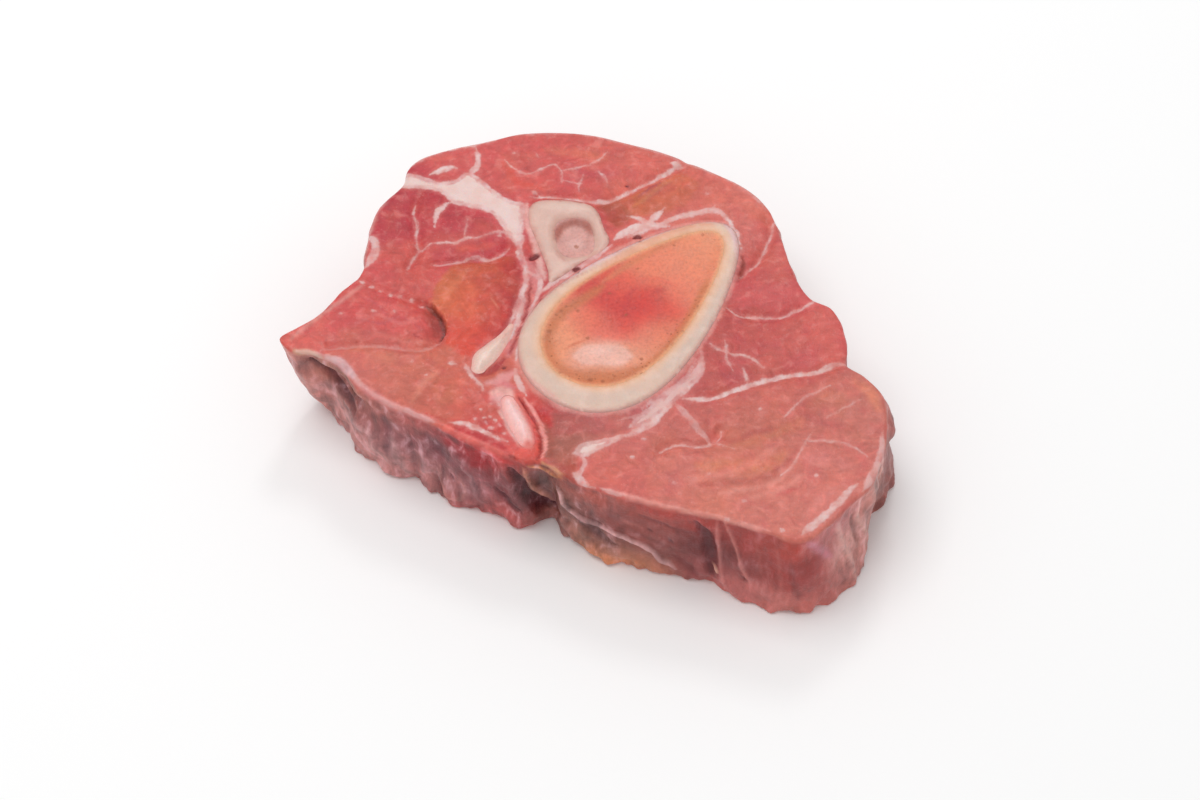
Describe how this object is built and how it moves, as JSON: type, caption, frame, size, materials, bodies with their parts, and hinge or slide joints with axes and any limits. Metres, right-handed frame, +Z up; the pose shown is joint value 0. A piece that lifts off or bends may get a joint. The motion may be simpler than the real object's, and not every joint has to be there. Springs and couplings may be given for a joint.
{
  "type": "raw beef shank",
  "caption": "Raw cross-cut slice of beef foreshank lying flat: lean muscle with fat seams round a large marrow bone and a small bone.",
  "frame": {"origin": "middle of the bounding box at the underside that the slice rests on", "axes": "+Z up, out of the upper cut face and along the leg; +X to the right and -Y towards the viewer of the picture"},
  "size_m": [0.1592, 0.134, 0.0329],
  "materials": {
    "lean": "moist raw muscle, satin with wet highlights",
    "fat": "soft white to pale pink fat and sinew, satin",
    "bone": "sawn compact bone, cream, satin",
    "marrow": "spongy bone filled with marrow, peach to red, moist",
    "tendon": "cream sinew, smooth and moist",
    "vessel": "pink vessel wall, wet"
  },
  "bodies": {
    "root": {"meat": "lean", "fat_band": "fat", "fat_sheath": "fat", "bone_large": "bone", "bone_small": "bone", "marrow_large": "marrow", "marrow_small": "marrow", "tendon": "tendon", "vessel": "vessel"}
  },
  "joints": []
}
